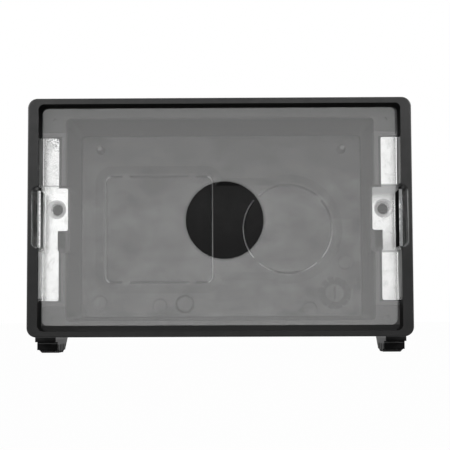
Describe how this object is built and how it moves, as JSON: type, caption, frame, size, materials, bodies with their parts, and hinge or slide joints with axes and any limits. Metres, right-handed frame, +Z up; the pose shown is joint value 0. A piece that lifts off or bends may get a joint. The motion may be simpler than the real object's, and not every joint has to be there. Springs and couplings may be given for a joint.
{
  "type": "flush back box",
  "caption": "Black moulded box set flush in a wall, with a stepped rim, knock-outs in its back wall, steel brackets for plate screws and a clear cover with a finger hole.",
  "frame": {"origin": "middle of the rim in the plane of its front edge, which is the wall's surface", "axes": "+X to the right along the long side, +Y into the wall, +Z up; the open front faces -Y"},
  "size_m": [0.097, 0.036, 0.0646],
  "materials": {
    "black_plastic": "moulded black plastic with a fine matt texture",
    "zinc_plated_steel": "pressed sheet steel, bright zinc plating with fine scuffs",
    "clear_sheet": "thin clear plastic sheet, slightly milky"
  },
  "bodies": {
    "root": {"back_box": "black_plastic", "left_bracket": "zinc_plated_steel", "right_bracket": "zinc_plated_steel", "clear_cover": "clear_sheet"}
  },
  "joints": []
}
